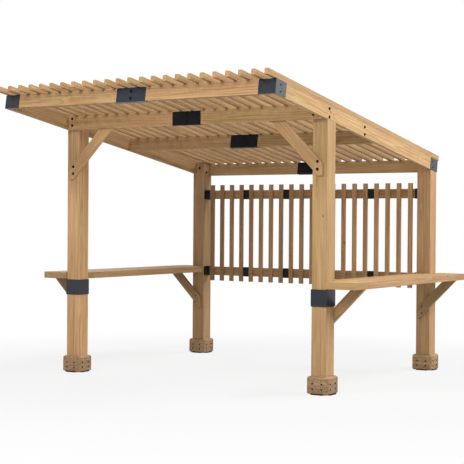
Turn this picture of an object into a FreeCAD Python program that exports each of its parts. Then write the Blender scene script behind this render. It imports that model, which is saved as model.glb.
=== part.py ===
import FreeCAD, Part
import os
from math import cos, radians, sin, sqrt, tan

# Lean-to pergola with a bar counter on both sides and a slatted rear wall.
# Sizes are in millimetres. +X runs to the right across the front, +Y runs to the back and
# +Z points up. The origin is on the ground, in the middle of the object's plan.

# Posts
post = 140.0                   # square posts
width = 2780.0                 # across the posts, outer face to outer face
depth = 2235.0                 # front face of the front posts to back face of the back posts
post_joint_height = 801.0      # where the two lengths of a front post meet
collar_length = 142.0          # steel collar over that joint
collar_thick = 6.0
steel = 4.0                    # thickness of every other steel sleeve and bracket

# Feet
foot_thick = 10.0              # steel plate under each post
foot_tab_width = 110.0         # its four tabs, one under each skirt board
foot_tab_lip = 6.0             # how far a tab shows beyond the skirt
skirt_thick = 28.0             # boards round the foot of a post
skirt_top = 152.0
skirt_bevel = 16.0             # sloping top edge of each skirt board
skirt_corner = 10.0            # clipped upright corners of the skirt

# Roof frame: rafters and beams lie in one tilted plane, high at the front
beam_thick = 38.0
roof_angle = 9.1               # degrees
roof_height = 2280.0           # underside of the rafters over the front posts' front face
rafter_depth = 120.0
roof_front_reach = 850.0       # lower front edge of the frame, ahead of the front posts
middle_beam_run = 1780.0       # from the roof's front edge to the middle beam, down the slope
splice_length = 300.0          # steel channel over the joint in the middle of each beam
splice_clearance = 2.0         # channel edge below the slats
bracket_leg = 155.0            # each leg of the steel corner brackets

# Roof slats, on edge and running down the slope
roof_slat_count = 24
roof_slat_thick = 36.0
roof_slat_height = 48.0
roof_slat_front_overhang = 125.0
roof_slat_back_overhang = 30.0

# Knee braces under the front beam, their feet in line with its ends
knee_width = 104.0
knee_thick = 20.0
knee_foot_drop = 465.0         # level cut under the foot, below the front beam
knee_foot_length = 43.0        # along that cut

# Side counters
counter_top = 938.0
counter_thick = 60.0
counter_overhang = 273.0       # beyond the posts' outer faces
counter_front_lip = 15.0       # ahead of the front posts
counter_back_lip = 73.0        # behind the back posts
end_plank_width = 240.0        # plank across each end of a counter
counter_board_count = 3        # boards along a counter, between the end planks
counter_joint_from_back = 530.0  # butt joint of the outer board, ahead of the back plank
counter_brace_width = 85.0
counter_brace_clearance = 8.0  # below the post collars
counter_brace_foot_inset = 110.0  # upright lower cut, in from the post's outer face

# Rear wall
rail_depth = 92.0              # the lower rail's top is level with the counters
upper_rail_drop = 162.0        # top of the upper rail, below the back beam's underside
rail_lengths = 5               # a rail is made of this many equal bays of slats
wall_slat_count = 20
wall_slat_width = 46.0
wall_slat_thick = 20.0
wall_slat_overrun = 57.0       # slat ends past the rails
wall_slat_first = 89.0         # middle of the first slat, from the post's inner face
rail_sleeve_clearance = 1.0    # steel sleeves over a rail's joints, clear of the slats beside
rail_socket_length = 45.0      # steel socket round each end of a rail
rail_base_width = 128.0        # its base plate, across the post
rail_base_height = 98.0

joint_gap = 1.0                # open joint between boards that meet end to end or side by side

# Places that follow from the sizes above
slope = radians(roof_angle)
half_width = width / 2
inner_x = half_width - post
rafter_inner_x = half_width - beam_thick
roof_run = (roof_front_reach + depth) / cos(slope)
slat_front_reach = (roof_front_reach + roof_slat_front_overhang * cos(slope)
                    - rafter_depth * sin(slope))
slat_back_reach = (roof_slat_back_overhang * cos(slope)
                   + (rafter_depth + roof_slat_height) * sin(slope))
front_reach = max(slat_front_reach, counter_front_lip)
back_reach = max(slat_back_reach, counter_back_lip)
front_y = (front_reach - depth - back_reach) / 2
back_y = front_y + depth
counter_under = counter_top - counter_thick
collar_base = post_joint_height - collar_length / 2
rail_y = back_y - post / 2 - beam_thick / 2


def box(x0, x1, y0, y1, z0, z1):
    corner = FreeCAD.Vector(x0, y0, z0)
    return Part.makeBox(x1 - x0, y1 - y0, z1 - z0, corner)


def prism_along_x(outline, x0, x1):
    """Solid whose (y, z) outline runs from x0 to x1."""
    points = [FreeCAD.Vector(x0, y, z) for y, z in outline]
    face = Part.Face(Part.makePolygon(points + points[:1]))
    return face.extrude(FreeCAD.Vector(x1 - x0, 0, 0))


def prism_along_y(outline, y0, y1):
    """Solid whose (x, z) outline runs from y0 to y1."""
    points = [FreeCAD.Vector(x, y0, z) for x, z in outline]
    face = Part.Face(Part.makePolygon(points + points[:1]))
    return face.extrude(FreeCAD.Vector(0, y1 - y0, 0))


def prism_along_z(outline, z0, z1):
    """Solid whose (x, y) outline runs from z0 to z1."""
    points = [FreeCAD.Vector(x, y, z0) for x, y in outline]
    face = Part.Face(Part.makePolygon(points + points[:1]))
    return face.extrude(FreeCAD.Vector(0, 0, z1 - z0))


def roof_point(run, rise):
    """(y, z) of a point run down the slope from the roof's lower front edge, and rise above
    the plane of the rafters' undersides."""
    y = front_y - roof_front_reach + run * cos(slope) + rise * sin(slope)
    z = roof_height + roof_front_reach * tan(slope) - run * sin(slope) + rise * cos(slope)
    return y, z


def roof_box(x0, x1, run0, run1, rise0, rise1):
    """Box that lies square in the tilted roof."""
    outline = [roof_point(run0, rise0), roof_point(run1, rise0),
               roof_point(run1, rise1), roof_point(run0, rise1)]
    return prism_along_x(outline, x0, x1)


def plane_height(y, rise):
    """Height at y of the roof plane that lies rise above the rafters' undersides."""
    return roof_height - (y - front_y) * tan(slope) + rise / cos(slope)


def mirrored(shape):
    return shape.mirror(FreeCAD.Vector(0, 0, 0), FreeCAD.Vector(1, 0, 0))


def in_halves(make, x_end):
    """The two halves of a beam from -x_end to x_end, with an open joint in the middle."""
    half = make(joint_gap / 2, x_end)
    return [mirrored(half), half]


def save(name, solids):
    shape = solids[0] if len(solids) == 1 else Part.makeCompound(solids)
    assert all(solid.isValid() and solid.Volume > 0 for solid in shape.Solids), name
    shape.exportStep("parts/" + name + ".step")


def save_pair(left_name, right_name, right_solids):
    """Save the right-hand pieces, and their mirror image as the left-hand ones."""
    save(right_name, right_solids)
    save(left_name, [mirrored(solid) for solid in right_solids])


# ---- Posts and feet ----

def rafter_notch(y0, y1):
    """Housing in the outer side of a right-hand post's top, which the rafter sits in."""
    outline = [(y0, plane_height(y0, 0)), (y1, plane_height(y1, 0)),
               (y1, 2 * roof_height), (y0, 2 * roof_height)]
    return prism_along_x(outline, rafter_inner_x, half_width + post)


def back_beam_notch():
    """Housing in the back of a right-hand back post, which the back beam sits in."""
    return roof_box(inner_x - post, half_width + post,
                    roof_run - beam_thick, roof_run + post, 0, 2 * roof_height)


def post_shaft(y0, z0):
    """Right-hand post from z0 up to the slats, its top cut to the slope."""
    y1 = y0 + post
    outline = [(y0, z0), (y1, z0),
               (y1, plane_height(y1, rafter_depth)), (y0, plane_height(y0, rafter_depth))]
    shaft = prism_along_x(outline, inner_x, half_width)
    return shaft.cut(rafter_notch(y0 - post, y1 + post))


def collar():
    """Steel sleeve round the joint of the front right post."""
    top = collar_base + collar_length
    outer = box(inner_x - collar_thick, half_width + collar_thick,
                front_y - collar_thick, front_y + post + collar_thick, collar_base, top)
    return outer.cut(box(inner_x, half_width, front_y, front_y + post, collar_base, top))


def skirt(y0):
    """Four bevelled boards round the foot of the right-hand post whose front face is y0."""
    x0, x1, y1 = inner_x, half_width, y0 + post
    left, right = x0 - skirt_thick, x1 + skirt_thick
    front, back = y0 - skirt_thick, y1 + skirt_thick
    low = skirt_top - skirt_bevel
    across = [(left, low), (left + skirt_bevel, skirt_top),
              (right - skirt_bevel, skirt_top), (right, low),
              (right, foot_thick), (left, foot_thick)]
    along = [(front, low), (front + skirt_bevel, skirt_top),
             (back - skirt_bevel, skirt_top), (back, low),
             (back, foot_thick), (front, foot_thick)]
    c = skirt_corner
    plan = [(left + c, front), (right - c, front), (right, front + c), (right, back - c),
            (right - c, back), (left + c, back), (left, back - c), (left, front + c)]
    block = prism_along_z(plan, foot_thick, skirt_top)
    block = block.common(prism_along_y(across, front, back))
    block = block.common(prism_along_x(along, left, right))
    boards = [box(left, right, front, y0, 0, skirt_top),
              box(left, right, y1, back, 0, skirt_top),
              box(left, x0, y0 + joint_gap, y1 - joint_gap, 0, skirt_top),
              box(x1, right, y0 + joint_gap, y1 - joint_gap, 0, skirt_top)]
    return [block.common(board) for board in boards]


def foot_plate(y0):
    """Steel plate under a right-hand post, with a tab under each skirt board."""
    lip = skirt_thick + foot_tab_lip
    middle_x, middle_y = half_width - post / 2, y0 + post / 2
    half_tab = foot_tab_width / 2
    square = box(inner_x, half_width, y0, y0 + post, 0, foot_thick)
    across = box(inner_x - lip, half_width + lip, middle_y - half_tab, middle_y + half_tab,
                 0, foot_thick)
    along = box(middle_x - half_tab, middle_x + half_tab, y0 - lip, y0 + post + lip,
                0, foot_thick)
    return square.fuse([across, along]).removeSplitter()


# ---- Roof ----

def rafter():
    """Right-hand rafter, from behind the fascia to the back end of the frame."""
    return roof_box(rafter_inner_x, half_width, beam_thick, roof_run, 0, rafter_depth)


def fascia(x0, x1):
    return roof_box(x0, x1, 0, beam_thick, 0, rafter_depth)


def front_beam(x0, x1):
    """Upright beam on the front posts' faces, its top planed to the slope."""
    y0, y1 = front_y - beam_thick, front_y
    outline = [(y0, roof_height), (y1, roof_height),
               (y1, plane_height(y1, rafter_depth)), (y0, plane_height(y0, rafter_depth))]
    return prism_along_x(outline, x0, x1)


def middle_beam(x0, x1):
    return roof_box(x0, x1, middle_beam_run, middle_beam_run + beam_thick, 0, rafter_depth)


def back_beam(x0, x1):
    return roof_box(x0, x1, roof_run - beam_thick, roof_run, 0, rafter_depth)


def roof_splice(run, low, high):
    """Steel channel under and on both faces of a tilted beam that starts at run."""
    end = splice_length / 2
    back = run + beam_thick
    outer = roof_box(-end, end, run - steel, back + steel, low - steel, high)
    return outer.cut(roof_box(-end, end, run, back, low, high + steel))


def front_beam_splice():
    """Steel channel under and on both faces of the upright front beam."""
    end = splice_length / 2
    y0, y1 = front_y - beam_thick, front_y
    top = plane_height(y1 + steel, rafter_depth) - splice_clearance
    outer = box(-end, end, y0 - steel, y1 + steel, roof_height - steel, top)
    return outer.cut(box(-end, end, y0, y1, roof_height, top))


def corner_bracket(end_run, inward):
    """Steel angle round the right-hand corner of the frame at end_run. Its side leg runs
    inward along the rafter: 1 is down the slope, -1 is up it."""
    outer_run = end_run - inward * steel
    leg_run = end_run + inward * bracket_leg
    side_runs = sorted((outer_run, leg_run))
    end_runs = sorted((outer_run, end_run))
    top = rafter_depth - splice_clearance
    side_leg = roof_box(half_width, half_width + steel, side_runs[0], side_runs[1], 0, top)
    end_leg = roof_box(half_width - bracket_leg, half_width + steel, end_runs[0], end_runs[1],
                       0, top)
    return side_leg.fuse(end_leg).removeSplitter()


def roof_slats():
    pitch = (width - roof_slat_thick) / (roof_slat_count - 1)
    slats = []
    for i in range(roof_slat_count):
        x0 = -half_width + i * pitch
        slats.append(roof_box(x0, x0 + roof_slat_thick, -roof_slat_front_overhang,
                              roof_run + roof_slat_back_overhang,
                              rafter_depth, rafter_depth + roof_slat_height))
    return slats


def knee_brace():
    """Right-hand brace at 45 degrees, from the front post's face to the front beam. Its foot
    is cut upright in line with the beam's end, and level underneath."""
    cut = knee_width * sqrt(2)
    foot_x, foot_z = rafter_inner_x, roof_height - knee_foot_drop
    heel_x = foot_x - knee_foot_length
    head_x = heel_x - knee_foot_drop
    outline = [(heel_x, foot_z), (foot_x, foot_z), (foot_x, foot_z + cut - knee_foot_length),
               (head_x + cut, roof_height), (head_x, roof_height)]
    return prism_along_y(outline, front_y - knee_thick, front_y)


# ---- Counters ----

def end_plank(y0, corner_y0, corner_y1):
    """Right-hand end plank from y0. A corner is cut out of it from corner_y0 to corner_y1, so
    that it passes a post on the outer side only."""
    plank = box(inner_x, half_width + counter_overhang, y0, y0 + end_plank_width,
                counter_under, counter_top)
    return plank.cut(box(inner_x, half_width, corner_y0, corner_y1,
                         counter_under, counter_top))


def counter_boards():
    """Right-hand boards between the end planks; the outermost is in two lengths."""
    y0 = front_y - counter_front_lip + end_plank_width
    y1 = back_y + counter_back_lip - end_plank_width
    board_width = (post + counter_overhang) / counter_board_count
    joint_y = y1 - counter_joint_from_back
    boards = []
    for i in range(counter_board_count):
        x0 = inner_x + i * board_width + joint_gap / 2
        x1 = inner_x + (i + 1) * board_width - joint_gap / 2
        outermost = i == counter_board_count - 1
        spans = [(y0, joint_y), (joint_y + joint_gap, y1)] if outermost else [(y0, y1)]
        for start, end in spans:
            boards.append(box(x0, x1, start, end, counter_under, counter_top))
    return boards


def counter_brace(y0):
    """Right-hand brace at 45 degrees from y0, bolted on the face of a post. It leaves the
    post's outer face just under the height of the collars."""
    half_cut = counter_brace_width / sqrt(2)
    face_z = collar_base - counter_brace_clearance - half_cut
    head_x = half_width + counter_under - face_z
    foot_x = half_width - counter_brace_foot_inset
    foot_z = face_z - counter_brace_foot_inset
    outline = [(foot_x, foot_z - half_cut), (head_x + half_cut, counter_under),
               (head_x - half_cut, counter_under), (foot_x, foot_z + half_cut)]
    return prism_along_y(outline, y0, y0 + beam_thick)


# ---- Rear wall ----

lower_rail_z = counter_top - rail_depth
upper_rail_z = roof_point(roof_run, 0)[1] - upper_rail_drop - rail_depth
wall_slat_pitch = 2 * (inner_x - wall_slat_first) / (wall_slat_count - 1)
bay_slats = wall_slat_count / rail_lengths
rail_joints = [-inner_x + wall_slat_first + (i * bay_slats - 0.5) * wall_slat_pitch
               for i in range(1, rail_lengths)]


def wall_rail(z0):
    """Rail between the base plates on the back posts, in lengths that meet end to end."""
    starts = [-inner_x + steel] + [x + joint_gap / 2 for x in rail_joints]
    ends = [x - joint_gap / 2 for x in rail_joints] + [inner_x - steel]
    return [box(start, end, rail_y, rail_y + beam_thick, z0, z0 + rail_depth)
            for start, end in zip(starts, ends)]


def rail_wrap(x0, x1, z0):
    """Steel round all four sides of the rail whose underside is z0."""
    outer = box(x0, x1, rail_y - steel, rail_y + beam_thick + steel,
                z0 - steel, z0 + rail_depth + steel)
    return outer.cut(box(x0, x1, rail_y, rail_y + beam_thick, z0, z0 + rail_depth))


def rail_sleeves(z0):
    half = (wall_slat_pitch - wall_slat_width) / 2 - rail_sleeve_clearance
    return [rail_wrap(x - half, x + half, z0) for x in rail_joints]


def rail_socket(z0):
    """Base plate on the right-hand back post, with a socket for the rail's end."""
    middle_y, middle_z = rail_y + beam_thick / 2, z0 + rail_depth / 2
    base = box(inner_x - steel, inner_x,
               middle_y - rail_base_width / 2, middle_y + rail_base_width / 2,
               middle_z - rail_base_height / 2, middle_z + rail_base_height / 2)
    socket = rail_wrap(inner_x - rail_socket_length, inner_x - steel, z0)
    return base.fuse(socket).removeSplitter()


def wall_slats():
    z0 = lower_rail_z - wall_slat_overrun
    z1 = upper_rail_z + rail_depth + wall_slat_overrun
    slats = []
    for i in range(wall_slat_count):
        middle = -inner_x + wall_slat_first + i * wall_slat_pitch
        slats.append(box(middle - wall_slat_width / 2, middle + wall_slat_width / 2,
                         rail_y - wall_slat_thick, rail_y, z0, z1))
    return slats


# ---- The whole object ----

os.makedirs("parts", exist_ok=True)

back_post_y = back_y - post
front_shaft = post_shaft(front_y, foot_thick)
lower_length = box(inner_x, half_width, front_y, front_y + post, foot_thick, post_joint_height)
upper_length = front_shaft.cut(box(inner_x, half_width, front_y, front_y + post,
                                   0, post_joint_height))
save_pair("front_left_lower_post", "front_right_lower_post", [lower_length])
save_pair("front_left_upper_post", "front_right_upper_post", [upper_length])
save_pair("back_left_post", "back_right_post",
          [post_shaft(back_post_y, foot_thick).cut(back_beam_notch())])
save_pair("left_post_collar", "right_post_collar", [collar()])
save_pair("front_left_base_skirt", "front_right_base_skirt", skirt(front_y))
save_pair("back_left_base_skirt", "back_right_base_skirt", skirt(back_post_y))
front_foot = foot_plate(front_y)
back_foot = foot_plate(back_post_y)
save("front_foot_plates", [mirrored(front_foot), front_foot])
save("back_foot_plates", [mirrored(back_foot), back_foot])

save_pair("left_rafter", "right_rafter", [rafter()])
save("front_fascia", in_halves(fascia, half_width))
save("front_beam", in_halves(front_beam, rafter_inner_x))
save("middle_beam", in_halves(middle_beam, rafter_inner_x))
save("back_beam", in_halves(back_beam, rafter_inner_x))
splice_top = rafter_depth - splice_clearance
save("fascia_splice", [roof_splice(0, 0, splice_top)])
save("front_beam_splice", [front_beam_splice()])
save("middle_beam_splice", [roof_splice(middle_beam_run, 0, splice_top)])
save("back_beam_splice", [roof_splice(roof_run - beam_thick, 0, splice_top)])
save_pair("front_left_corner_bracket", "front_right_corner_bracket", [corner_bracket(0, 1)])
save_pair("back_left_corner_bracket", "back_right_corner_bracket",
          [corner_bracket(roof_run, -1)])
save("roof_slats", roof_slats())
save_pair("left_knee_brace", "right_knee_brace", [knee_brace()])

front_lip_y = front_y - counter_front_lip
back_lip_y = back_y + counter_back_lip
save_pair("left_counter_ends", "right_counter_ends",
          [end_plank(front_lip_y, front_lip_y, front_y + post),
           end_plank(back_lip_y - end_plank_width, back_post_y, back_lip_y)])
save_pair("left_counter_boards", "right_counter_boards", counter_boards())
save_pair("front_left_counter_brace", "front_right_counter_brace",
          [counter_brace(front_y + post)])
save_pair("back_left_counter_brace", "back_right_counter_brace",
          [counter_brace(back_post_y - beam_thick)])

save("upper_wall_rail", wall_rail(upper_rail_z))
save("lower_wall_rail", wall_rail(lower_rail_z))
save("wall_slats", wall_slats())
save("rail_sleeves", rail_sleeves(upper_rail_z) + rail_sleeves(lower_rail_z))
sockets = [rail_socket(upper_rail_z), rail_socket(lower_rail_z)]
save("rail_sockets", sockets + [mirrored(socket) for socket in sockets])
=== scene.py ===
# %% [markdown]
# # A lean-to pergola with side counters
#
# This notebook dresses a timber pergola: four posts, a slatted roof that slopes down to the
# back, a bar counter along each side and a slatted screen behind. The carpentry is already
# fixed by the frame that is loaded first, so every board, bolt and bracket here takes its
# place from it. What is added is what a carpenter would notice next: rounded arrises, the
# run of the grain in each board, end grain, knots, bolt heads, screws and the coating on
# the steelwork.

# %% Load the frame
import math
import random

import bmesh
import bpy
from mathutils import Matrix, Vector
from mathutils.bvhtree import BVHTree


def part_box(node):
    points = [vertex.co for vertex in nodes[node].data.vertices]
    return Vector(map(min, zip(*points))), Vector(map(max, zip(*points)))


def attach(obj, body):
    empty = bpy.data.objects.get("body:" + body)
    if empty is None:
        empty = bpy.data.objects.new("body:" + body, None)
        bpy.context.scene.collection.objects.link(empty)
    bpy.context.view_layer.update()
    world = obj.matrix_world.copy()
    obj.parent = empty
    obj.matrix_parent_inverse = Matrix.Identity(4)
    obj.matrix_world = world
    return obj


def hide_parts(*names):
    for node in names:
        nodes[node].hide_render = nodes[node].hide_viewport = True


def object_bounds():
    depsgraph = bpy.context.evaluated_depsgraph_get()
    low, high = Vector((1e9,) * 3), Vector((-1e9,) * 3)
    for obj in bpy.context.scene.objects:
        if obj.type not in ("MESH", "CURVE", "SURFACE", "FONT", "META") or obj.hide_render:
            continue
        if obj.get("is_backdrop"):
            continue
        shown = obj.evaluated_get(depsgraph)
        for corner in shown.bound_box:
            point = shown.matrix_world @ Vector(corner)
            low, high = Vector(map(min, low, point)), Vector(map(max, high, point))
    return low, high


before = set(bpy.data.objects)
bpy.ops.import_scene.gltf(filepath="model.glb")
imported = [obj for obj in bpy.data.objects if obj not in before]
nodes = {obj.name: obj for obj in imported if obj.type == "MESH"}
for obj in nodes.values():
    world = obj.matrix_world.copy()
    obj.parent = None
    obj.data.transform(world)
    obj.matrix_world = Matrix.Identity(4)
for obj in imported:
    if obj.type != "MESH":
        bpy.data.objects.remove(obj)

cad_low, cad_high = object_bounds()
print("frame of", len(nodes), "nodes")
print("size in metres:", [round(side, 3) for side in cad_high - cad_low])

# %% [markdown]
# ## Reading the boards
#
# A sawn board is easiest to describe by its own three directions: along the grain, across
# its face and through its thickness. The frame only holds loose triangles, so a copy of a
# node is merged and its flat faces joined up again. Its longest edge then gives the grain,
# because timber is always cut with the grain running along the piece.

# %% Merged copies and their separate solids
SAME_POINT = 1e-5              # corners nearer than this, in metres, are one corner
SAME_FACE = math.radians(1)    # triangles that turn less than this are one flat face


def merged(node):
    """A copy of a frame node with shared corners and whole flat faces."""
    bm = bmesh.new()
    bm.from_mesh(nodes[node].data)
    bmesh.ops.remove_doubles(bm, verts=bm.verts, dist=SAME_POINT)
    bmesh.ops.dissolve_limit(bm, angle_limit=SAME_FACE, verts=bm.verts, edges=bm.edges)
    return bm


def separate_solids(bm):
    """Lists of vertices, one for each solid of the mesh, in a fixed order."""
    bm.verts.index_update()
    reached = set()
    solids = []
    for first in bm.verts:
        if first.index in reached:
            continue
        reached.add(first.index)
        solid, waiting = [], [first]
        while waiting:
            vert = waiting.pop()
            solid.append(vert)
            for edge in vert.link_edges:
                other = edge.other_vert(vert)
                if other.index not in reached:
                    reached.add(other.index)
                    waiting.append(other)
        solids.append(solid)
    return solids


# %% The three directions of a board
NEARLY_LONGEST = 0.95    # share of the longest edge that still counts as long
LEVEL = 1e-4             # an edge that climbs less than this, in metres, is level
SQUARE = 0.02            # two edges with a smaller cosine than this are square


def pointing_up(direction):
    """The same line, pointing to the back, to the right or up, so that boards agree."""
    main = max(range(3), key=lambda i: abs(direction[i]))
    return direction if direction[main] > 0 else -direction


def board_axes(solid):
    """Unit vectors along the grain, across the face and through the board. In a board that
    is about as high as it is wide, such as those of the skirts, the grain lies level."""
    edges = {edge for vert in solid for edge in vert.link_edges}
    lines = sorted(((e.verts[1].co - e.verts[0].co) for e in edges),
                   key=lambda d: (-round(d.length, 6), *[round(c, 6) for c in d]))
    long_enough = NEARLY_LONGEST * lines[0].length
    level = [d for d in lines if d.length > long_enough and abs(d.z) < LEVEL]
    grain = pointing_up((level or lines)[0].normalized())
    square = [d for d in lines if abs(d.normalized().dot(grain)) < SQUARE]
    across = pointing_up(square[0].normalized())
    across = (across - grain * across.dot(grain)).normalized()
    return grain, across, grain.cross(across)


def board_box(solid):
    """(middle, axes, sizes) of the box round a solid, lying along its own axes."""
    axes = board_axes(solid)
    spans = [(min(v.co.dot(a) for v in solid), max(v.co.dot(a) for v in solid)) for a in axes]
    middle = sum((a * (low + high) / 2 for a, (low, high) in zip(axes, spans)), Vector())
    return middle, axes, [high - low for low, high in spans]


def boards(node):
    """The boxes of a node's solids, from left to right, front to back and low to high."""
    bm = merged(node)
    found = [board_box(solid) for solid in separate_solids(bm)]
    bm.free()
    return sorted(found, key=lambda b: [round(c, 4) for c in b[0]])


roof_slat_boards = boards("roof_slats")
slat_size = [round(size, 3) for size in roof_slat_boards[0][2]]
print("roof slats:", len(roof_slat_boards), "each", slat_size, "m")

# %% [markdown]
# ## Small helpers for node trees
#
# Shader trees and geometry trees are both built from nodes, so one function adds a node,
# sets its options and fills its inputs with plain values or with links. An input goes by its
# name, or by its place where a node has several of one name: the colours of a Mix node are
# inputs 6 and 7, and its factor is input 0. A second function turns the hex colours that a
# paint or stain chart would give into the linear values that the renderer works in.

# %% Nodes and colours
def add(tree, kind, inputs=None, **settings):
    """Adds a node. An input that is given a socket is linked, and any other is set."""
    node = tree.nodes.new(kind)
    for name, value in settings.items():
        setattr(node, name, value)
    for name, value in (inputs or {}).items():
        if isinstance(value, bpy.types.NodeSocket):
            tree.links.new(value, node.inputs[name])
        else:
            node.inputs[name].default_value = value
    return node


def linear(hex_colour):
    """Linear RGBA from an sRGB hex value such as '#c49a6e'."""
    parts = [int(hex_colour[i:i + 2], 16) / 255 for i in (1, 3, 5)]
    return [p / 12.92 if p <= 0.04045 else ((p + 0.055) / 1.055) ** 2.4 for p in parts] + [1.0]


def new_material(name, finish):
    """A material, its tree and its Principled shader, already joined to the output. The
    finish gives the shader's values that are the same all over."""
    material = bpy.data.materials.new(name)
    material.use_nodes = True
    tree = material.node_tree
    tree.nodes.clear()
    shader = add(tree, "ShaderNodeBsdfPrincipled", finish)
    add(tree, "ShaderNodeOutputMaterial", {"Surface": shader.outputs["BSDF"]})
    return material, tree, shader


# %% [markdown]
# ## Stained cedar
#
# The timber is a softwood such as cedar, planed and given a matt honey-brown stain. What
# the eye gets is a warm mid tone with darker latewood lines along each board, arcs of the
# same rings on the sawn ends, a few knots that the grain flows round, and soft streaks
# where the stain took unevenly.
#
# A picture of wood could be wrapped round the boards, but it would repeat, and the ends
# would never match the sides. Here the rings are worked out in the solid, as distance from
# a pith line beside the board, so that faces and ends agree as they do in a real trunk.
# Every board carries three things for this: `grain`, its own coordinates in metres with a
# shift of its own, `board`, a number that tints it at random and also carries any painted
# light or shade given to the piece, and `end`, which marks its sawn ends.

# %% The rings, streaks and knots of a board
def knots_in(tree, grain):
    """(knot, swirl): 1 in the heart of a knot, and a wider bump that bends the grain. There
    is a place for one every 180 mm or so along the board and every 110 mm across it, and a
    share of those places has one. A heart is some 20 mm wide."""
    along, across, share = 0.18, 0.11, 0.16
    per_metre = (1 / along, 1 / across, 1 / across)
    cell = add(tree, "ShaderNodeVectorMath", {0: grain, 1: per_metre}, operation="MULTIPLY")
    spots = add(tree, "ShaderNodeTexVoronoi", {"Vector": cell.outputs[0], "Scale": 1.0})
    pick = add(tree, "ShaderNodeSeparateColor", {"Color": spots.outputs["Color"]})
    kept = add(tree, "ShaderNodeMath", {0: pick.outputs["Red"], 1: 1 - share},
               operation="GREATER_THAN")
    shapes = []
    # Where the heart and the bump are gone and where they are full, in cells from the middle.
    for gone, full in ((0.11, 0.05), (0.55, 0.0)):
        near = add(tree, "ShaderNodeMapRange", {"Value": spots.outputs["Distance"],
                   "From Min": gone, "From Max": full}, interpolation_type="SMOOTHSTEP")
        shape = add(tree, "ShaderNodeMath", {0: near.outputs[0], 1: kept.outputs[0]},
                    operation="MULTIPLY")
        shapes.append(shape.outputs[0])
    return shapes


def growth_rings(tree, grain, swirl, ring):
    """0 in pale earlywood and 1 in dark latewood, ring metres apart, round a pith line that
    lies outside the board and wanders a little along it."""
    pith = (0.0, 0.055, 0.085)    # how far the line lies to the side, in metres
    reach = (0.0, 0.05, 0.05)     # how far it wanders
    waves = (0.8, 6.0, 6.0)       # how many waves it makes in a metre
    knot_push = 9.0               # radians by which a knot pushes the rings aside
    slow = add(tree, "ShaderNodeVectorMath", {0: grain, 1: waves}, operation="MULTIPLY")
    wander = add(tree, "ShaderNodeTexNoise", {"Vector": slow.outputs[0], "Scale": 1.0,
                 "Detail": 2.0})
    centred = add(tree, "ShaderNodeVectorMath", {0: wander.outputs["Color"],
                  1: (0.5, 0.5, 0.5)}, operation="SUBTRACT")
    bent = add(tree, "ShaderNodeVectorMath", {0: centred.outputs[0], 1: reach, 2: grain},
               operation="MULTIPLY_ADD")
    from_pith = add(tree, "ShaderNodeVectorMath", {0: bent.outputs[0], 1: (0.0, 1.0, 1.0),
                    2: pith}, operation="MULTIPLY_ADD")
    radius = add(tree, "ShaderNodeVectorMath", {0: from_pith.outputs[0]}, operation="LENGTH")
    turns = add(tree, "ShaderNodeMath", {0: radius.outputs["Value"], 1: 2 * math.pi / ring},
                operation="MULTIPLY")
    swollen = add(tree, "ShaderNodeMath", {0: swirl, 1: knot_push, 2: turns.outputs[0]},
                  operation="MULTIPLY_ADD")
    wave = add(tree, "ShaderNodeMath", {0: swollen.outputs[0]}, operation="SINE")
    late = add(tree, "ShaderNodeMapRange", {"Value": wave.outputs[0], "From Min": -0.4,
               "From Max": 1.0}, interpolation_type="SMOOTHSTEP")
    return late.outputs[0]


def streaks(tree, grain, length, width, detail=3.0):
    """Noise drawn out along the board, about length by width metres."""
    per_metre = (1 / length, 1 / width, 1 / width)
    drawn = add(tree, "ShaderNodeVectorMath", {0: grain, 1: per_metre}, operation="MULTIPLY")
    noise = add(tree, "ShaderNodeTexNoise", {"Vector": drawn.outputs[0], "Scale": 1.0,
                "Detail": detail})
    return noise.outputs["Fac"]


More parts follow.
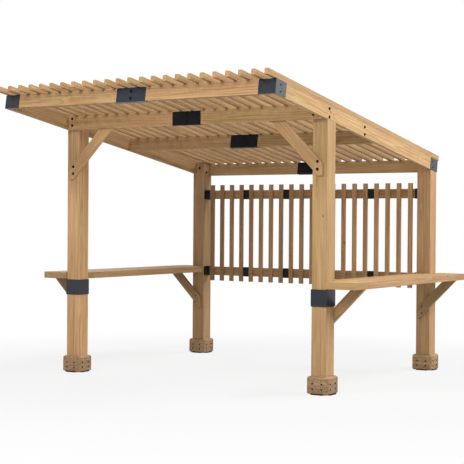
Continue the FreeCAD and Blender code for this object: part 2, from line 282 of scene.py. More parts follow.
# %% The stained cedar material
def stained_cedar(name, pale, dark, knot_brown, ring=0.007, soil=0.0):
    """Cedar of two wood colours. Real rings are 2 to 4 mm apart and real fibres far finer.
    Rings are drawn ring metres apart and fibres 6 mm wide, coarse enough to show from
    across a garden. Soil is how far splashed earth covers the wood in its worst spots."""
    material, tree, shader = new_material(name, {"IOR": 1.5, "Specular IOR Level": 0.35})
    grain = add(tree, "ShaderNodeAttribute", attribute_name="grain").outputs["Vector"]
    board = add(tree, "ShaderNodeAttribute", attribute_name="board").outputs["Fac"]
    end = add(tree, "ShaderNodeAttribute", attribute_name="end").outputs["Fac"]
    knot, swirl = knots_in(tree, grain)
    rings = growth_rings(tree, grain, swirl, ring)
    broad = streaks(tree, grain, 1.3, 0.05, detail=1.0)
    soft = streaks(tree, grain, 0.50, 0.016)
    fibre = streaks(tree, grain, 0.14, 0.006)

    # How much latewood colour shows: rings, uneven stain and fine fibre, each by its share.
    # The sum starts below 0, so that it comes to about a half.
    shown = -0.72
    for pattern, share in ((rings, 0.30), (soft, 1.15), (broad, 0.45), (fibre, 0.5)):
        mix = add(tree, "ShaderNodeMath", {0: pattern, 1: share, 2: shown},
                  operation="MULTIPLY_ADD")
        shown = mix.outputs[0]
    mix.use_clamp = True
    wood = add(tree, "ShaderNodeMix", {0: shown, 6: linear(pale), 7: linear(dark)},
               data_type="RGBA")

    # Sawn ends drink more stain and knots are darker than the wood round them.
    for place, share, brown in ((end, 0.35, dark), (knot, 0.65, knot_brown)):
        part = add(tree, "ShaderNodeMath", {0: place, 1: share}, operation="MULTIPLY")
        wood = add(tree, "ShaderNodeMix", {0: part.outputs[0], 6: wood.outputs[2],
                   7: linear(brown)}, data_type="RGBA")

    # Earth splashed up from the ground dries in patches a couple of centimetres wide.
    splashes = add(tree, "ShaderNodeTexNoise", {"Vector": grain, "Scale": 65.0, "Detail": 2.0})
    soiled = add(tree, "ShaderNodeMapRange", {"Value": splashes.outputs["Fac"],
                 "From Min": 0.42, "From Max": 0.62, "To Max": soil})
    earthy = add(tree, "ShaderNodeMix", {0: soiled.outputs[0], 6: wood.outputs[2],
                 7: linear("#4a3b2b")}, data_type="RGBA")

    # No two boards are from the same tree: each is a little paler or darker, and redder or
    # yellower. The hue comes from later digits of the same number, so it goes its own way.
    # The same number carries painted light and shade: a tone given to a whole piece makes it
    # paler, as painted light, or darker, as painted shade.
    value = add(tree, "ShaderNodeMapRange", {"Value": board, "To Min": 0.90,
                "To Max": 1.06}, clamp=False)
    warmth = add(tree, "ShaderNodeMath", {0: board, 1: 37.0}, operation="MULTIPLY")
    warmth = add(tree, "ShaderNodeMath", {0: warmth.outputs[0]}, operation="FRACT")
    hue = add(tree, "ShaderNodeMapRange", {"Value": warmth.outputs[0], "To Min": 0.494,
              "To Max": 0.504})
    tinted = add(tree, "ShaderNodeHueSaturation", {"Hue": hue.outputs[0],
                 "Value": value.outputs[0], "Color": earthy.outputs[2]})
    tree.links.new(tinted.outputs["Color"], shader.inputs["Base Color"])

    rough = add(tree, "ShaderNodeMapRange", {"Value": rings, "To Min": 0.78, "To Max": 0.62})
    tree.links.new(rough.outputs[0], shader.inputs["Roughness"])

    # Latewood stands a little proud of the softer earlywood after planing.
    height = add(tree, "ShaderNodeMath", {0: rings, 1: 0.6, 2: fibre},
                 operation="MULTIPLY_ADD")
    height = add(tree, "ShaderNodeMath", {0: knot, 1: -0.5, 2: height.outputs[0]},
                 operation="MULTIPLY_ADD")
    bump = add(tree, "ShaderNodeBump", {"Height": height.outputs[0], "Strength": 0.6,
               "Distance": 0.0008})
    tree.links.new(bump.outputs["Normal"], shader.inputs["Normal"])
    return material


frame_cedar = stained_cedar("stained_cedar_frame", "#caa678", "#936d41", "#664529")
print("material", frame_cedar.name, "with", len(frame_cedar.node_tree.nodes), "nodes")

# %% [markdown]
# ## Rounding and dressing a timber
#
# Planed timber never has a knife edge: the mill rounds its arrises by a few millimetres, so
# a thin highlight runs along each one. Each node is therefore copied, its outward edges are
# rounded with a two-step bevel, and `grain`, `board` and `end` are written on each of its
# solids. The copy then stands in for the plain node.

# %% A dressed copy of a node
def as_piece(name, mesh, material):
    """Links a mesh as a piece of the pergola that rides with the frame."""
    mesh.materials.clear()
    mesh.materials.append(material)
    mesh.polygons.foreach_set("use_smooth", [True] * len(mesh.polygons))
    piece = bpy.data.objects.new(name, mesh)
    bpy.context.scene.collection.objects.link(piece)
    # Big flat faces keep their own direction, and only the rounded arrises blend.
    piece.modifiers.new("true_faces", "WEIGHTED_NORMAL").keep_sharp = True
    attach(piece, "root")
    return piece


def stand_in(bm, name, node, material):
    """Turns a reworked copy into the piece that stands for its node."""
    mesh = bpy.data.meshes.new(name)
    bm.to_mesh(mesh)
    bm.free()
    piece = as_piece(name, mesh, material)
    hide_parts(node)


# %% Rounded arrises and the grain on each board
SHARP = math.radians(20)    # an edge that turns more than this is rounded
PLANED_ARRIS = 0.0025       # radius of an arris of planed timber, in metres
END_FACING = 0.6            # a face turned this far along the grain is a sawn end
# Each board has its own place in 40 m of trunk, and up to 50 mm to either side.
GRAIN_SHIFT = ((0.0, 40.0), (-0.05, 0.05), (-0.05, 0.05))


def round_edges(bm, radius):
    """Rounds the outward edges and returns the new narrow faces."""
    sharp = [e for e in bm.edges
             if e.is_manifold and e.is_convex and e.calc_face_angle() > SHARP]
    made = bmesh.ops.bevel(bm, geom=sharp, offset=radius, segments=2, profile=0.5,
                           affect="EDGES", clamp_overlap=False)
    return made["faces"]


def dress_timber(node, material, radius=PLANED_ARRIS, tone=0.0):
    """Replaces a timber node by a copy with rounded arrises and a grain. A tone above 0 makes
    the whole piece paler, as painted light, and one below it darker, as painted shade."""
    bm = merged(node)
    round_edges(bm, radius)
    grain = bm.verts.layers.float_vector.new("grain")
    board = bm.verts.layers.float.new("board")
    end = bm.faces.layers.float.new("end")
    dice = random.Random("timber " + node)
    for solid in separate_solids(bm):
        middle, axes, _ = board_box(solid)
        shift = Vector([dice.uniform(low, high) for low, high in GRAIN_SHIFT])
        # A random tone of the board plus the painted light or shade given to the piece.
        tone_with_painted_light_and_shade = dice.random() + tone
        for vert in solid:
            vert[grain] = Vector([(vert.co - middle).dot(a) for a in axes]) + shift
            vert[board] = tone_with_painted_light_and_shade
        for face in {f for vert in solid for f in vert.link_faces}:
            face[end] = 1.0 if abs(face.normal.dot(axes[0])) > END_FACING else 0.0
    stand_in(bm, "dressed_" + node, node, material)


# %% [markdown]
# ## Posts, beams, rafters and braces
#
# These carry the roof. The posts are heavy square timbers, the beams and rafters are planks on
# edge, and the knee braces stiffen the front corners. Their arrises are rounded by 2.5 mm, as
# on planed structural timber. A few of them are given a tone of their own, which is painted
# light and shade: the knee braces, the front left post and the left rafter are made paler as
# painted light, and the fascia, the beams and the back posts darker as painted shade.

# %% The load-bearing timbers
structural = ["front_left_lower_post", "front_left_upper_post", "front_right_lower_post",
              "front_right_upper_post", "back_left_post", "back_right_post", "left_rafter",
              "right_rafter", "front_fascia", "front_beam", "middle_beam", "back_beam",
              "left_knee_brace", "right_knee_brace"]
# Painted light and shade: a tone above 0 makes a piece paler, one below 0 darker.
painted_light_and_shade_tones = {"front_fascia": -1.0, "middle_beam": -1.4, "back_beam": -0.4, "left_rafter": 0.4,
         "back_left_post": -1.1, "back_right_post": -0.8, "left_knee_brace": 1.6,
         "right_knee_brace": 0.7, "front_left_lower_post": 0.9, "front_left_upper_post": 0.6}
for node in structural:
    dress_timber(node, frame_cedar, tone=painted_light_and_shade_tones.get(node, 0.0))
print("dressed", len(structural), "structural nodes")

# %% [markdown]
# ## Counters, braces and rails
#
# The counters are thick boards laid side by side, with cross planks at their ends that are cut
# round the outer side of the posts. Hands and elbows rest on them, so their arrises are a
# little rounder. The counters and their braces are given darker tones as painted shade, the
# left counter more than the right and the back braces most. The rails of the screen are light
# planks. They and the slats they carry get a darker cedar, which is painted shade for the
# roof's shadow over the screen.

# %% The counters and the rails of the screen
# Darker tones on the counters and their braces are painted shade, deepest on the back braces.
for side, tone in (("left", -1.0), ("right", -0.2)):
    dress_timber(f"{side}_counter_ends", frame_cedar, radius=0.003, tone=tone)
    dress_timber(f"{side}_counter_boards", frame_cedar, radius=0.003, tone=tone)
    dress_timber(f"front_{side}_counter_brace", frame_cedar, tone=-1.1)
    dress_timber(f"back_{side}_counter_brace", frame_cedar, tone=tone - 1.2)
# A darker copy of the cedar: painted shade for the roof's shadow over the screen.
shaded_screen_cedar = stained_cedar("screen_cedar_painted_shade", "#af8c63", "#7a5733", "#553720")
for node in ("upper_wall_rail", "lower_wall_rail"):
    dress_timber(node, shaded_screen_cedar)
print("dressed two counters, their braces and two rails")

# %% [markdown]
# ## Base skirts
#
# Each post stands in a boxed skirt of short boards. They sit near the ground and catch the
# rain that splashes up from it, so they have greyed a little and are mottled with earth.

# %% The skirts
base_cedar = stained_cedar("weathered_cedar_base", "#bc9a72", "#7e6346", "#47331f",
                           ring=0.008, soil=0.42)
for place in ("front_left", "front_right", "back_left", "back_right"):
    dress_timber(place + "_base_skirt", base_cedar, radius=0.002)
print("dressed four skirts in", base_cedar.name)

# %% [markdown]
# ## Roof and screen slats in Geometry Nodes
#
# The roof has two dozen equal slats on edge, lying side by side down the slope, and the
# screen has twenty upright ones. One slat drawn once and repeated along a line is what
# Geometry Nodes do best: the count, the sizes and the step are named inputs, so a wider
# roof is a change of numbers. The slat is a rounded rectangle swept along its length. Each
# copy gets its own random tone and its own stretch of grain before all are made real.

# %% A Geometry Nodes tree with named inputs
def geometry_tree(name, inputs, output):
    """An empty tree with one output, and the sockets that give its inputs to the nodes."""
    tree = bpy.data.node_groups.new(name, "GeometryNodeTree")
    for socket, kind in inputs.items():
        tree.interface.new_socket(socket, in_out="INPUT", socket_type="NodeSocket" + kind)
    tree.interface.new_socket(output, in_out="OUTPUT", socket_type="NodeSocketGeometry")
    return tree, add(tree, "NodeGroupInput").outputs


# %% The tree that lays out a row of slats
def slat_row_tree():
    """Repeats one slat along a line. Across and Through are the two sizes of its section. The
    tone input is added to each slat's own tone as painted shade, and the drift input once more
    for each slat on the way, as painted light that grows along the row."""
    tree, given = geometry_tree("row_of_slats", {
        "Count": "Int", "Length": "Float", "Across": "Float", "Through": "Float",
        "Round": "Float", "First": "Vector", "Step": "Vector", "Turn": "Vector",
        "Seed": "Int", "Painted_Shade_Tone": "Float", "Painted_Light_Drift": "Float", "Stain": "Material"}, "Slats")

    # One slat, its length along X, its section in Y and Z.
    section = add(tree, "GeometryNodeCurvePrimitiveQuadrilateral",
                  {"Width": given["Across"], "Height": given["Through"]})
    eased = add(tree, "GeometryNodeFilletCurve", {"Curve": section.outputs["Curve"],
                "Radius": given["Round"], "Count": 2, "Limit Radius": True}, mode="POLY")
    half = add(tree, "ShaderNodeMath", {0: given["Length"], 1: 0.5}, operation="MULTIPLY")
    back = add(tree, "ShaderNodeMath", {0: half.outputs[0], 1: -1.0}, operation="MULTIPLY")
    low = add(tree, "ShaderNodeCombineXYZ", {"Z": back.outputs[0]})
    high = add(tree, "ShaderNodeCombineXYZ", {"Z": half.outputs[0]})
    line = add(tree, "GeometryNodeCurvePrimitiveLine",
               {"Start": low.outputs[0], "End": high.outputs[0]})
    swept = add(tree, "GeometryNodeCurveToMesh", {"Curve": line.outputs["Curve"],
                "Profile Curve": eased.outputs["Curve"], "Fill Caps": True})
    place = add(tree, "GeometryNodeInputPosition")
    spot = add(tree, "ShaderNodeSeparateXYZ", {0: place.outputs[0]})
    along = add(tree, "ShaderNodeCombineXYZ", {"X": spot.outputs["Z"],
                "Y": spot.outputs["X"], "Z": spot.outputs["Y"]})
    turned = add(tree, "GeometryNodeSetPosition", {"Geometry": swept.outputs["Mesh"],
                 "Position": along.outputs[0]})

    # Grain and ends are known here, while the slat still lies along X.
    grain = add(tree, "GeometryNodeStoreNamedAttribute", {"Geometry": turned.outputs[0],
                "Name": "grain", "Value": place.outputs[0]}, data_type="FLOAT_VECTOR")
    facing = add(tree, "GeometryNodeInputNormal")
    flat = add(tree, "ShaderNodeVectorMath", {0: facing.outputs[0]}, operation="ABSOLUTE")
    parts = add(tree, "ShaderNodeSeparateXYZ", {0: flat.outputs[0]})
    is_end = add(tree, "ShaderNodeMath", {0: parts.outputs["X"], 1: END_FACING},
                 operation="GREATER_THAN")
    end = add(tree, "GeometryNodeStoreNamedAttribute", {"Geometry": grain.outputs[0],
              "Name": "end", "Value": is_end.outputs[0]}, data_type="FLOAT", domain="FACE")

    # The row: one copy on each point, with a tone and a stretch of grain of its own.
    row = add(tree, "GeometryNodeMeshLine", {"Count": given["Count"],
              "Start Location": given["First"], "Offset": given["Step"]}, mode="OFFSET")
    copies = add(tree, "GeometryNodeInstanceOnPoints", {"Points": row.outputs["Mesh"],
                 "Instance": end.outputs[0], "Rotation": given["Turn"]})
    tone = add(tree, "FunctionNodeRandomValue", {"Seed": given["Seed"]}, data_type="FLOAT")
    order = add(tree, "GeometryNodeInputIndex")
    # Painted shade and painted light: the tone input darkens the whole row, and the drift
    # input makes each slat a little paler than the one before.
    painted_light_drift = add(tree, "ShaderNodeMath", {0: order.outputs[0], 1: given["Painted_Light_Drift"],
                2: given["Painted_Shade_Tone"]}, operation="MULTIPLY_ADD")
    tone = add(tree, "ShaderNodeMath", {0: tone.outputs[1], 1: painted_light_drift.outputs[0]})
    toned = add(tree, "GeometryNodeStoreNamedAttribute", {"Geometry": copies.outputs[0],
                "Name": "board", "Value": tone.outputs[0]}, data_type="FLOAT",
                domain="INSTANCE")
    lowest, highest = zip(*GRAIN_SHIFT)
    shift = add(tree, "FunctionNodeRandomValue", {0: lowest, 1: highest,
                "Seed": given["Seed"]}, data_type="FLOAT_VECTOR")
    moved = add(tree, "GeometryNodeStoreNamedAttribute", {"Geometry": toned.outputs[0],
                "Name": "shift", "Value": shift.outputs[0]}, data_type="FLOAT_VECTOR",
                domain="INSTANCE")
    real = add(tree, "GeometryNodeRealizeInstances", {"Geometry": moved.outputs[0]})
    own_grain = add(tree, "GeometryNodeInputNamedAttribute", {"Name": "grain"},
                    data_type="FLOAT_VECTOR")
    own_shift = add(tree, "GeometryNodeInputNamedAttribute", {"Name": "shift"},
                    data_type="FLOAT_VECTOR")
    both = add(tree, "ShaderNodeVectorMath", {0: own_grain.outputs[0],
               1: own_shift.outputs[0]})
    final = add(tree, "GeometryNodeStoreNamedAttribute", {"Geometry": real.outputs[0],
                "Name": "grain", "Value": both.outputs[0]}, data_type="FLOAT_VECTOR")
    stained = add(tree, "GeometryNodeSetMaterial", {"Geometry": final.outputs[0],
                  "Material": given["Stain"]})
    add(tree, "NodeGroupOutput", {"Slats": stained.outputs[0]})
    return tree


# %% Running a tree and keeping the plain mesh
def grow(name, tree, inputs, base=None):
    """Evaluates a Geometry Nodes tree and returns its result as a plain mesh."""
    carrier = bpy.data.objects.new(name, base or bpy.data.meshes.new(name))
    bpy.context.scene.collection.objects.link(carrier)
    modifier = carrier.modifiers.new(name, "NODES")
    modifier.node_group = tree
    for socket in tree.interface.items_tree:
        if socket.in_out == "INPUT" and socket.name in inputs:
            modifier[socket.identifier] = inputs[socket.name]
    shown = carrier.evaluated_get(bpy.context.evaluated_depsgraph_get())
    mesh = bpy.data.meshes.new_from_object(shown)
    carrier.modifiers.remove(modifier)
    bpy.data.objects.remove(carrier)
    return mesh


def tilt(axes):
    """Euler angles that turn X, Y and Z onto a board's three directions."""
    columns = Matrix(axes).transposed()
    return tuple(columns.to_euler("XYZ"))


def slat_row(name, node, row, material, rounding, seed, tone, painted_light_drift):
    """Replaces a node of equal slats by a row from the tree, measured from its boards."""
    middle, axes, sizes = row[0]
    step = (row[-1][0] - row[0][0]) / (len(row) - 1)
    mesh = grow(name, slats_tree, {"Count": len(row), "Length": sizes[0], "Across": sizes[1],
                "Through": sizes[2], "Round": rounding, "First": tuple(middle),
                "Step": tuple(step), "Turn": tilt(axes), "Seed": seed, "Painted_Shade_Tone": tone,
                "Painted_Light_Drift": painted_light_drift, "Stain": material})
    piece = as_piece(name, mesh, material)
    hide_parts(node)
    print(name, "has", len(row), "slats, a step of", [round(s * 1000, 1) for s in step], "mm")


# %% The roof and the screen
slats_tree = slat_row_tree()
screen_boards = boards("wall_slats")
# The roof's slats get a darker tone as painted shade. The screen's get painted shade too, and
# painted light that grows slat by slat to the right.
slat_row("roof_of_slats", "roof_slats", roof_slat_boards, frame_cedar,
         rounding=PLANED_ARRIS, seed=3, tone=-1.1, painted_light_drift=0.0)
slat_row("screen_of_slats", "wall_slats", screen_boards, shaded_screen_cedar,
         rounding=0.0015, seed=8, tone=-1.1, painted_light_drift=0.18)

# %% [markdown]
# ## Black steelwork
#
# The splice covers, corner brackets, rail sleeves and sockets are folded from 4 mm steel,
# the posts' collars from 6 mm, and their foot plates are cut from 10 mm. All are powder
# coated in a dark anthracite. A powder coat is smooth with a very fine orange peel, so it
# gives soft, wide highlights, and it is thin and paler where the edges are knocked. What
# shows on the outside, at the roof's corners, in the middle of its front edge and round the
# posts, has a satin coat that catches the light, and the rest is matt. The same rounding as
# on the timber, with a smaller radius, gives each folded edge its line of light, and `worn`
# marks it, because the coat gets rubbed there.

# %% The powder coat
def powder_coat(name, coat, rubbed, roughness, sheen):
    """A thin coloured plastic skin baked on steel, so it isn't metallic itself. A matt coat
    has a matting agent in it, which a smaller sheen stands for."""
    material, tree, shader = new_material(name, {"IOR": 1.5, "Specular IOR Level": sheen})
    place = add(tree, "ShaderNodeTexCoord").outputs["Object"]
    # Dust lies in clouds about 110 mm wide, and the rubbed edges come and go every 17 mm.
    cloud = add(tree, "ShaderNodeTexNoise", {"Vector": place, "Scale": 9.0, "Detail": 4.0})
    dusty = add(tree, "ShaderNodeMapRange", {"Value": cloud.outputs["Fac"], "From Min": 0.35,
                "From Max": 0.75, "To Max": 0.35})
    worn = add(tree, "ShaderNodeAttribute", attribute_name="worn").outputs["Fac"]
    scuffs = add(tree, "ShaderNodeTexNoise", {"Vector": place, "Scale": 60.0, "Detail": 3.0})
    bare = add(tree, "ShaderNodeMapRange", {"Value": scuffs.outputs["Fac"], "From Min": 0.5,
               "From Max": 0.7, "To Max": 0.8})
    edge = add(tree, "ShaderNodeMath", {0: worn, 1: bare.outputs[0]}, operation="MULTIPLY")
    pale = add(tree, "ShaderNodeMath", {0: dusty.outputs[0], 1: edge.outputs[0]},
               operation="MAXIMUM")
    colour = add(tree, "ShaderNodeMix", {0: pale.outputs[0], 6: linear(coat),
                 7: linear(rubbed)}, data_type="RGBA")
    tree.links.new(colour.outputs[2], shader.inputs["Base Color"])
    uneven = 0.08    # how much rougher and smoother the coat gets
    rough = add(tree, "ShaderNodeMapRange", {"Value": cloud.outputs["Fac"],
                "To Min": roughness - uneven, "To Max": roughness + uneven})
    tree.links.new(rough.outputs[0], shader.inputs["Roughness"])
    # Orange peel of a powder coat: soft bumps about 1.5 mm apart.
    peel = add(tree, "ShaderNodeTexNoise", {"Vector": place, "Scale": 650.0, "Detail": 1.0})
    bump = add(tree, "ShaderNodeBump", {"Height": peel.outputs["Fac"], "Strength": 0.25,
               "Distance": 0.0003})
    tree.links.new(bump.outputs["Normal"], shader.inputs["Normal"])
    return material


satin_coat = powder_coat("satin_powder_coated_steel", "#0b121b", "#1e2936",
                         roughness=0.36, sheen=0.5)
matt_coat = powder_coat("matt_powder_coated_steel", "#0a0b0d", "#1f2226",
                        roughness=0.5, sheen=0.18)
print("coats:", satin_coat.name, "and", matt_coat.name)


# %% The folded steel pieces
FOLD = 0.001    # radius of a folded edge, in metres


def dress_steel(node, coat):
    """Replaces a steel node by a coated copy with rounded folds."""
    bm = merged(node)
    folds = set(round_edges(bm, FOLD))
    worn = bm.faces.layers.float.new("worn")
    for face in bm.faces:
        face[worn] = 1.0 if face in folds else 0.0
    stand_in(bm, "coated_" + node, node, coat)


steelwork = [node for node in sorted(nodes)
             if any(word in node for word in ("collar", "splice", "bracket", "plates",
                                              "sleeves", "sockets"))]
for node in steelwork:
    satin = "corner_bracket" in node or "collar" in node or node == "fascia_splice"
    dress_steel(node, satin_coat if satin else matt_coat)
print("coated", len(steelwork), "steel nodes")

# %% [markdown]
# ## Bolts and screws
#
# Timber frames like this one are held by black machine bolts with button heads, by smaller
# screws in the skirts and by rows of deck screws that hold the slats down. A fixing is
# known by the line along which it was driven. The line is followed until it meets the
# wood, which gives both the place of the head and the tilt of the face under it.
#
# They are black oxide steel, which is matt and almost black: it needs no more than a plain
# dark shader with a little uneven gloss, because nothing more shows on a head this small.
#
# A head is turned like a pot on a lathe, from a short list of radii and heights, with a
# six-sided socket in its top. Geometry Nodes then set one on every point, turned by a
# random angle, because nobody lines up the sockets of fifty bolts.

# %% The black oxide finish
def black_oxide():
    """Oiled black oxide on steel: matt, with a gloss that varies where hands rubbed it."""
    material, tree, shader = new_material("black_oxide_steel", {"Specular IOR Level": 0.12})
    place = add(tree, "ShaderNodeTexCoord").outputs["Object"]
    smear = add(tree, "ShaderNodeTexNoise", {"Vector": place, "Scale": 35.0, "Detail": 2.0})
    tone = add(tree, "ShaderNodeMix", {0: smear.outputs["Fac"], 6: linear("#050506"),
               7: linear("#121315")}, data_type="RGBA")
    gloss = add(tree, "ShaderNodeMapRange", {"Value": smear.outputs["Fac"], "To Min": 0.45,
                "To Max": 0.65})
    tree.links.new(tone.outputs[2], shader.inputs["Base Color"])
    tree.links.new(gloss.outputs[0], shader.inputs["Roughness"])
    return material


fixing_coat = black_oxide()
print("finish:", fixing_coat.name)

# %% Where a driven line meets the wood
BACKWARDS, FORWARDS = (0, 1, 0), (0, -1, 0)
TO_LEFT, TO_RIGHT = (-1, 0, 0), (1, 0, 0)
DOWN = (0, 0, -1)
solid_trees = {}    # each node's faces, for quick ray casts


def surface_hit(node, start, direction):
    """(point, outward direction) where a line first meets a node."""
    if node not in solid_trees:
        bm = merged(node)
        bmesh.ops.triangulate(bm, faces=bm.faces)
        solid_trees[node] = BVHTree.FromBMesh(bm)
        bm.free()
    point, normal, _, _ = solid_trees[node].ray_cast(Vector(start), Vector(direction))
    if point is None:
        raise ValueError(f"the line from {start} misses {node}")
    return point, normal


# %% A turned head
def turned_head(name, rings, sides):
    """A closed lathe shape. A ring is (radius, height, six_sided), in metres."""
    bm = bmesh.new()
    loops = []
    for radius, height, six_sided in rings:
        loop = []
        for i in range(sides):
            angle = 2 * math.pi * i / sides
            flat = math.cos(math.pi / 6) if six_sided and i % 2 else 1.0
            loop.append(bm.verts.new((radius * flat * math.cos(angle),
                                      radius * flat * math.sin(angle), height)))
        loops.append(loop)
    for low, high in zip(loops, loops[1:]):
        for i in range(sides):
            j = (i + 1) % sides
            bm.faces.new((low[i], low[j], high[j], high[i]))
    bm.faces.new(list(reversed(loops[0])))
    bm.faces.new(loops[-1])
    bmesh.ops.recalc_face_normals(bm, faces=bm.faces)
    mesh = bpy.data.meshes.new(name)
    bm.to_mesh(mesh)
    bm.free()
    return bpy.data.objects.new(name, mesh)


bolt_head = turned_head("bolt_head", [
    (0.0140, -0.0010, False), (0.0140, 0.0014, False), (0.0134, 0.0020, False),
    (0.0112, 0.0020, False), (0.0108, 0.0048, False), (0.0088, 0.0074, False),
    (0.0052, 0.0084, True), (0.0047, 0.0045, True)], sides=12)
screw_head = turned_head("screw_head", [
    (0.0052, -0.0008, False), (0.0052, 0.0008, False), (0.0040, 0.0022, False),
    (0.0016, 0.0026, False), (0.0012, 0.0012, False)], sides=8)
print("a bolt head has", len(bolt_head.data.polygons), "faces")


# %% The tree that sets heads on points
def fixings_tree():
    """Sets a head on each point, square to the wood and turned by a random angle."""
    tree, given = geometry_tree("set_of_fixings", {
        "Points": "Geometry", "Head": "Object", "Size": "Float", "Seed": "Int",
        "Coat": "Material"}, "Fixings")
    head = add(tree, "GeometryNodeObjectInfo", {"Object": given["Head"]})
    facing = add(tree, "GeometryNodeInputNamedAttribute", {"Name": "facing"},
                 data_type="FLOAT_VECTOR")
    upright = add(tree, "FunctionNodeAlignRotationToVector", {"Vector": facing.outputs[0]},
                  axis="Z")
    angle = add(tree, "FunctionNodeRandomValue", {3: 2 * math.pi, "Seed": given["Seed"]},
                data_type="FLOAT")
    spin = add(tree, "ShaderNodeCombineXYZ", {"Z": angle.outputs[1]})
    turned = add(tree, "FunctionNodeRotateRotation", {"Rotation": upright.outputs[0],
                 "Rotate By": spin.outputs[0]}, rotation_space="LOCAL")
    heads = add(tree, "GeometryNodeInstanceOnPoints", {"Points": given["Points"],
                "Instance": head.outputs["Geometry"], "Rotation": turned.outputs[0],
                "Scale": given["Size"]})
    real = add(tree, "GeometryNodeRealizeInstances", {"Geometry": heads.outputs[0]})
    coated = add(tree, "GeometryNodeSetMaterial", {"Geometry": real.outputs[0],
                 "Material": given["Coat"]})
    add(tree, "NodeGroupOutput", {"Fixings": coated.outputs[0]})
    return tree


def fixings(name, hits, head, size, seed, coat):
    """One piece with a head, size times its drawn size, on every (point, outward
    direction)."""
    points = bpy.data.meshes.new(name)
    points.from_pydata([tuple(point) for point, _ in hits], [], [])
    facing = points.attributes.new("facing", "FLOAT_VECTOR", "POINT")
    facing.data.foreach_set("vector", [c for _, normal in hits for c in normal])
    mesh = grow(name, heads_tree, {"Head": head, "Size": size, "Seed": seed,
                "Coat": coat}, points)
    as_piece(name, mesh, coat)
    print(name, "has", len(hits), "heads")


heads_tree = fixings_tree()

# %% [markdown]
# ## Which bolt goes where
#
# The bolts stand in pairs, one above the other, wherever a plank meets a post or crosses
# another. Both sides are alike, so each line is given for the right-hand side and mirrored.
# Only the front beam differs: its right-hand pair sits 32 mm further in than the left one.

# %% The bolts of the frame
def pair_of_sides(node, start, direction):
    """Hits for a line on the right of the pergola and for its mirror image."""
    x, y, z = start
    dx, dy, dz = direction
    other = node.replace("right", "left")
    return [surface_hit(node, (x, y, z), (dx, dy, dz)),
            surface_hit(other, (-x, y, z), (-dx, dy, dz))]


post_low, post_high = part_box("front_right_upper_post")
outer_x = post_high.x
bolt_x = outer_x - 0.083     # where the planks on a post's face are bolted
brace_x = outer_x - 0.065    # and the counter braces' lower ends
bracket_x = 1.310            # and the corner brackets
far = 3.0                    # outside the pergola on every side
bolt_hits = []
for z in (2.319, 2.382):    # through the ends of the front beam
    for x in (-bolt_x, bolt_x - 0.032):
        bolt_hits.append(surface_hit("front_beam", (x, -far, z), BACKWARDS))
# The knee braces' feet, the rafters on the front posts, a second pair further up the
# rafters, and the back brackets' bolts, which come through the back posts.
for node, x, y, heights, direction in (
        ("right_knee_brace", bolt_x, -far, (1.868, 1.933), BACKWARDS),
        ("right_rafter", far, post_low.y + 0.026, (2.298, 2.367), TO_LEFT),
        ("right_rafter", far, post_low.y + 0.675, (2.195, 2.259), TO_LEFT),
        ("back_right_post", bracket_x, 0.0, (2.002,), BACKWARDS),
        ("back_right_post", 0.0, 1.461, (1.957,), TO_RIGHT)):
    for z in heights:
        bolt_hits += pair_of_sides(node, (x, y, z), direction)
for z in (2.443, 2.501):    # through the steel over the middle joints
    bolt_hits.append(surface_hit("fascia_splice", (0.0, -far, z), BACKWARDS))
for node in ("front_beam_splice", "middle_beam_splice", "back_beam_splice"):
    low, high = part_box(node)
    for share in (0.30, 0.80):
        z = low.z + share * (high.z - low.z)
        bolt_hits.append(surface_hit(node, (0.0, -far, z), BACKWARDS))
fixings("frame_bolts", bolt_hits, bolt_head, size=0.95, seed=5, coat=fixing_coat)

# %% The bolts of the brackets and the counter braces
front_bracket, back_bracket = "front_right_corner_bracket", "back_right_corner_bracket"
bracket_hits, side_hits = [], []
for z in (2.436, 2.490):
    side_hits += pair_of_sides(front_bracket, (far, -1.447, z), TO_LEFT)
    bracket_hits += pair_of_sides(front_bracket, (bracket_x, -far, z), BACKWARDS)
for z in (1.968, 2.025):
    side_hits += pair_of_sides(back_bracket, (far, 1.462, z), TO_LEFT)
    bracket_hits += pair_of_sides(back_bracket, (bracket_x, far, z), FORWARDS)
fixings("bracket_bolts", bracket_hits, bolt_head, size=0.6, seed=2, coat=satin_coat)
fixings("bracket_side_bolts", side_hits, bolt_head, size=0.7, seed=3, coat=satin_coat)

brace_hits = []
for z in (0.556, 0.619):
    brace_hits += pair_of_sides("back_right_counter_brace", (brace_x, -far, z), BACKWARDS)
    brace_hits += pair_of_sides("front_right_counter_brace", (brace_x, far, z), FORWARDS)
fixings("brace_bolts", brace_hits, bolt_head, size=0.5, seed=4, coat=fixing_coat)

# %% The screws of the skirts, the slats and the screen
screw_hits = []
for side in ("front", "back"):
    node = side + "_right_base_skirt"
    low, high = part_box(node)
    middle = (low + high) / 2
    for z in (0.048, 0.092):
        for across in (-0.043, 0.043):
            for line in (((middle.x + across, -far, z), BACKWARDS),
                         ((middle.x + across, far, z), FORWARDS),
                         ((far, middle.y + across, z), TO_LEFT),
                         ((0.0, middle.y + across, z), TO_RIGHT)):
                screw_hits += pair_of_sides(node, *line)
fixings("skirt_screws", screw_hits, screw_head, size=1.5, seed=6, coat=fixing_coat)

roof_hits = []
for beam in ("front_fascia", "front_beam", "middle_beam", "back_beam"):
    low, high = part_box(beam)
    y = (low.y + high.y) / 2
    for middle, _, _ in roof_slat_boards:
        roof_hits.append(surface_hit("roof_slats", (middle.x, y, far), DOWN))
fixings("roof_screws", roof_hits, screw_head, size=1.0, seed=7, coat=fixing_coat)

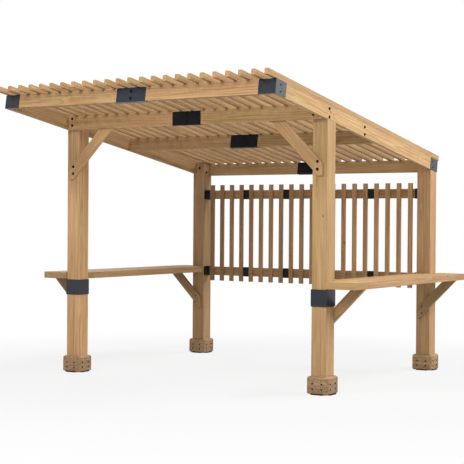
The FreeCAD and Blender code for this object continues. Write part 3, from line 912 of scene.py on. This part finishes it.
screen_hits = []
for rail in ("upper_wall_rail", "lower_wall_rail"):
    low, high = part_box(rail)
    for middle, _, _ in screen_boards:
        for z in (low.z + 0.028, high.z - 0.028):    # well inside the rail's edges
            screen_hits.append(surface_hit("wall_slats", (middle.x, -far, z), BACKWARDS))
fixings("screen_screws", screen_hits, screw_head, size=0.7, seed=9, coat=fixing_coat)
for head in (bolt_head, screw_head):
    bpy.data.objects.remove(head)

# %% [markdown]
# ## Floor, light and camera
#
# The pergola stands on a plain pale floor that fades into white further out. The light is
# that of a studio: low white walls all round, a long softbox high in front, another in front
# on the right, two on the right-hand side, one behind on the left that skims the counter's
# top, a reflector on the floor that brightens the undersides of the slats, and a soft sun
# from behind on the right. The high front lamp shines down between the slats, so each beam
# gets a scalloped line of light and shade along its top. Together they make the right-hand
# faces and the tops the brightest and leave the inside of the roof in a gentle shade.

# %% What is seen in the background
def seen_directly(tree):
    """1 for what the camera, a mirror or a glass sees, and 0 for light that falls on things.
    It makes a background white without adding to the lamps."""
    rays = add(tree, "ShaderNodeLightPath").outputs
    seen = rays["Is Camera Ray"]
    for kind in ("Is Glossy Ray", "Is Transmission Ray"):
        either = add(tree, "ShaderNodeMath", {0: seen, 1: rays[kind]}, operation="MAXIMUM")
        seen = either.outputs[0]
    return seen


# %% The pale floor
def pale_floor(radius):
    """A round floor whose material is pale by the object and plain white far away."""
    material, tree, shader = new_material("pale_studio_floor", {
        "Base Color": linear("#b4b4b4"), "Roughness": 0.9, "Specular IOR Level": 0.1})
    place = add(tree, "ShaderNodeTexCoord").outputs["Object"]
    away = add(tree, "ShaderNodeVectorMath", {0: place}, operation="LENGTH")
    fade = add(tree, "ShaderNodeMapRange", {"Value": away.outputs["Value"], "From Min": 2.0,
               "From Max": 5.0, "To Min": 0.82}, interpolation_type="SMOOTHSTEP")
    share = add(tree, "ShaderNodeMath", {0: fade.outputs[0], 1: seen_directly(tree)},
                operation="MULTIPLY")
    white = add(tree, "ShaderNodeEmission", {"Color": (1, 1, 1, 1), "Strength": 1.0})
    both = add(tree, "ShaderNodeMixShader", {0: share.outputs[0],
               1: shader.outputs["BSDF"], 2: white.outputs[0]})
    output = tree.get_output_node("ALL")
    tree.links.new(both.outputs[0], output.inputs["Surface"])
    bm = bmesh.new()
    bmesh.ops.create_circle(bm, cap_ends=True, radius=radius, segments=64)
    mesh = bpy.data.meshes.new("floor")
    bm.to_mesh(mesh)
    bm.free()
    mesh.materials.append(material)
    floor = bpy.data.objects.new("floor", mesh)
    bpy.context.scene.collection.objects.link(floor)
    floor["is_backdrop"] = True


pale_floor(radius=60.0)
print("floor: plain white from 5 m out")

# %% The white sky
world = bpy.data.worlds.new("white_sky")
bpy.context.scene.world = world
world.use_nodes = True
sky = world.node_tree
sky.nodes.clear()
toward = add(sky, "ShaderNodeSeparateXYZ",
             {0: add(sky, "ShaderNodeTexCoord").outputs["Generated"]})
# As a lamp, the sky is bright up to 9 degrees above the horizon and almost dark from 20.
fading = add(sky, "ShaderNodeMapRange", {"Value": toward.outputs["Z"], "From Min": 0.15,
             "From Max": 0.35, "To Min": 0.9, "To Max": 0.03})
gap = add(sky, "ShaderNodeMath", {0: 1.0, 1: fading.outputs[0]}, operation="SUBTRACT")
level = add(sky, "ShaderNodeMath", {0: seen_directly(sky), 1: gap.outputs[0],
            2: fading.outputs[0]}, operation="MULTIPLY_ADD")
light = add(sky, "ShaderNodeBackground", {"Color": (1, 1, 1, 1),
            "Strength": level.outputs[0]})
add(sky, "ShaderNodeOutputWorld", {"Surface": light.outputs[0]})
print("sky:", world.name)

# %% The lamps
AIM = Vector((0, -0.2, 1.2))    # the middle of the pergola, where every softbox points


def softbox(name, place, size, watts, spread=180.0):
    """A rectangular lamp that faces the middle of the pergola and doesn't show itself. Its
    spread is in degrees, and less than 180 is a lamp with a honeycomb in front."""
    lamp = bpy.data.lights.new(name, "AREA")
    lamp.shape = "RECTANGLE"
    lamp.size, lamp.size_y = size
    lamp.energy = watts
    lamp.spread = math.radians(spread)
    holder = bpy.data.objects.new(name, lamp)
    holder.location = place
    holder.rotation_euler = (Vector(place) - AIM).to_track_quat("Z", "Y").to_euler()
    holder.visible_camera = False
    bpy.context.scene.collection.objects.link(holder)
    return holder


high_front = softbox("high_front_softbox", (0.2, -4.4, 4.6), (4.0, 1.2), watts=208)
high_front.visible_glossy = False    # it doesn't mirror in the front faces of the steel
softbox("front_right_softbox", (3.0, -4.5, 3.2), (2.0, 2.0), watts=54)
softbox("side_softbox", (5.5, 1.0, 4.5), (2.5, 2.5), watts=185)
softbox("back_side_softbox", (4.4, 3.7, 3.1), (2.5, 2.5), watts=34)
softbox("back_left_softbox", (-4.6, 2.4, 3.4), (2.0, 2.0), watts=100)
softbox("floor_reflector", (0.0, -0.2, 0.06), (3.0, 3.4), watts=7, spread=80.0)
sun = bpy.data.lights.new("high_sun", "SUN")
sun.energy = 1.8
sun.angle = math.radians(20)
sun_lamp = bpy.data.objects.new("high_sun", sun)
toward_sun = Vector((0.45, 0.45, 0.77))
sun_lamp.rotation_euler = toward_sun.to_track_quat("Z", "Y").to_euler()
bpy.context.scene.collection.objects.link(sun_lamp)
print("lamps:", ", ".join(lamp.name for lamp in bpy.data.lights))

# %% The camera
eye = (6.2281, -9.6473, 1.4463)    # at eye height, in front on the right
yaw, pitch, roll = (math.radians(a) for a in (32.741, -0.575, 0.399))
camera_data = bpy.data.cameras.new("view")
camera_data.lens = 95.71
camera_data.sensor_width = 36.0
camera = bpy.data.objects.new("view", camera_data)
bpy.context.scene.collection.objects.link(camera)
camera.matrix_world = (Matrix.Translation(eye) @ Matrix.Rotation(yaw, 4, "Z")
                       @ Matrix.Rotation(math.pi / 2 + pitch, 4, "X")
                       @ Matrix.Rotation(roll, 4, "Z"))
bpy.context.scene.camera = camera
bpy.context.scene.view_settings.view_transform = "Standard"
print("camera with a lens of", round(camera_data.lens, 2), "mm")

# %% [markdown]
# ## Size of the dressed pergola
#
# How much larger the dressed pergola is than the frame is printed. The dressed pergola
# must be no bigger than the frame.

# %% Sizes and the end
seen_low, seen_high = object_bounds()
growth = [round((b - a) * 1000, 1) for a, b in zip(cad_high - cad_low, seen_high - seen_low)]
print("the dressed pergola is", growth, "mm larger than the frame")
